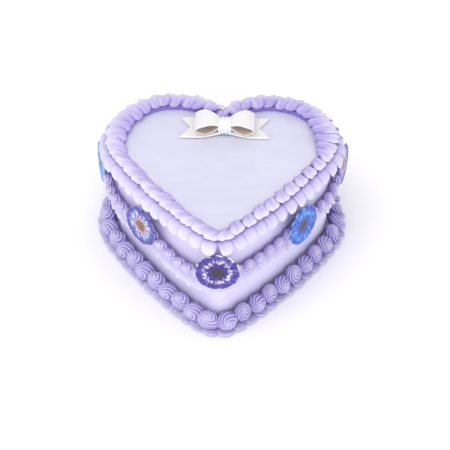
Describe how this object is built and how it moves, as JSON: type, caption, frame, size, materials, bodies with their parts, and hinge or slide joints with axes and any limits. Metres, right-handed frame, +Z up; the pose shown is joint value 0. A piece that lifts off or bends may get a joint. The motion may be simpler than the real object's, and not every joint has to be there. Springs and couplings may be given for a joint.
{
  "type": "heart shaped cake",
  "caption": "Uncut heart-shaped layer cake in smooth pale icing, with piped ruffle and shell borders, swags, printed flower discs and a fondant bow.",
  "frame": {"origin": "centre of the bounding box in X and Y, on the table under the cake", "axes": "+Z up, the heart's tip points to -Y, its cleft and the bow to +Y, +X to the right seen from the tip"},
  "size_m": [0.2277, 0.2128, 0.1136],
  "materials": {
    "icing_smooth": "smooth pale lavender buttercream, satin",
    "icing_piped": "piped lavender buttercream, soft satin",
    "disc_violet": "thin icing disc printed with a dark violet flower",
    "disc_blue": "thin icing disc printed with a blue flower",
    "disc_pale": "thin icing disc printed with a pale flower with a blue rim",
    "fondant": "rolled white fondant, matt"
  },
  "bodies": {
    "root": {"cake": "icing_smooth", "top_ruffle_lower": "icing_piped", "top_ruffle_upper": "icing_piped", "swag_shells": "icing_piped", "swag_ruffle": "icing_piped", "foot_shells": "icing_piped", "foot_ruffle": "icing_piped", "flower_disc_1": "disc_violet", "flower_disc_2": "disc_blue", "flower_disc_3": "disc_pale", "flower_disc_4": "disc_violet", "flower_disc_5": "disc_blue", "flower_disc_6": "disc_pale", "flower_disc_7": "disc_blue", "bow_tails": "fondant", "bow_loop_left": "fondant", "bow_loop_right": "fondant", "bow_knot": "fondant"}
  },
  "joints": []
}
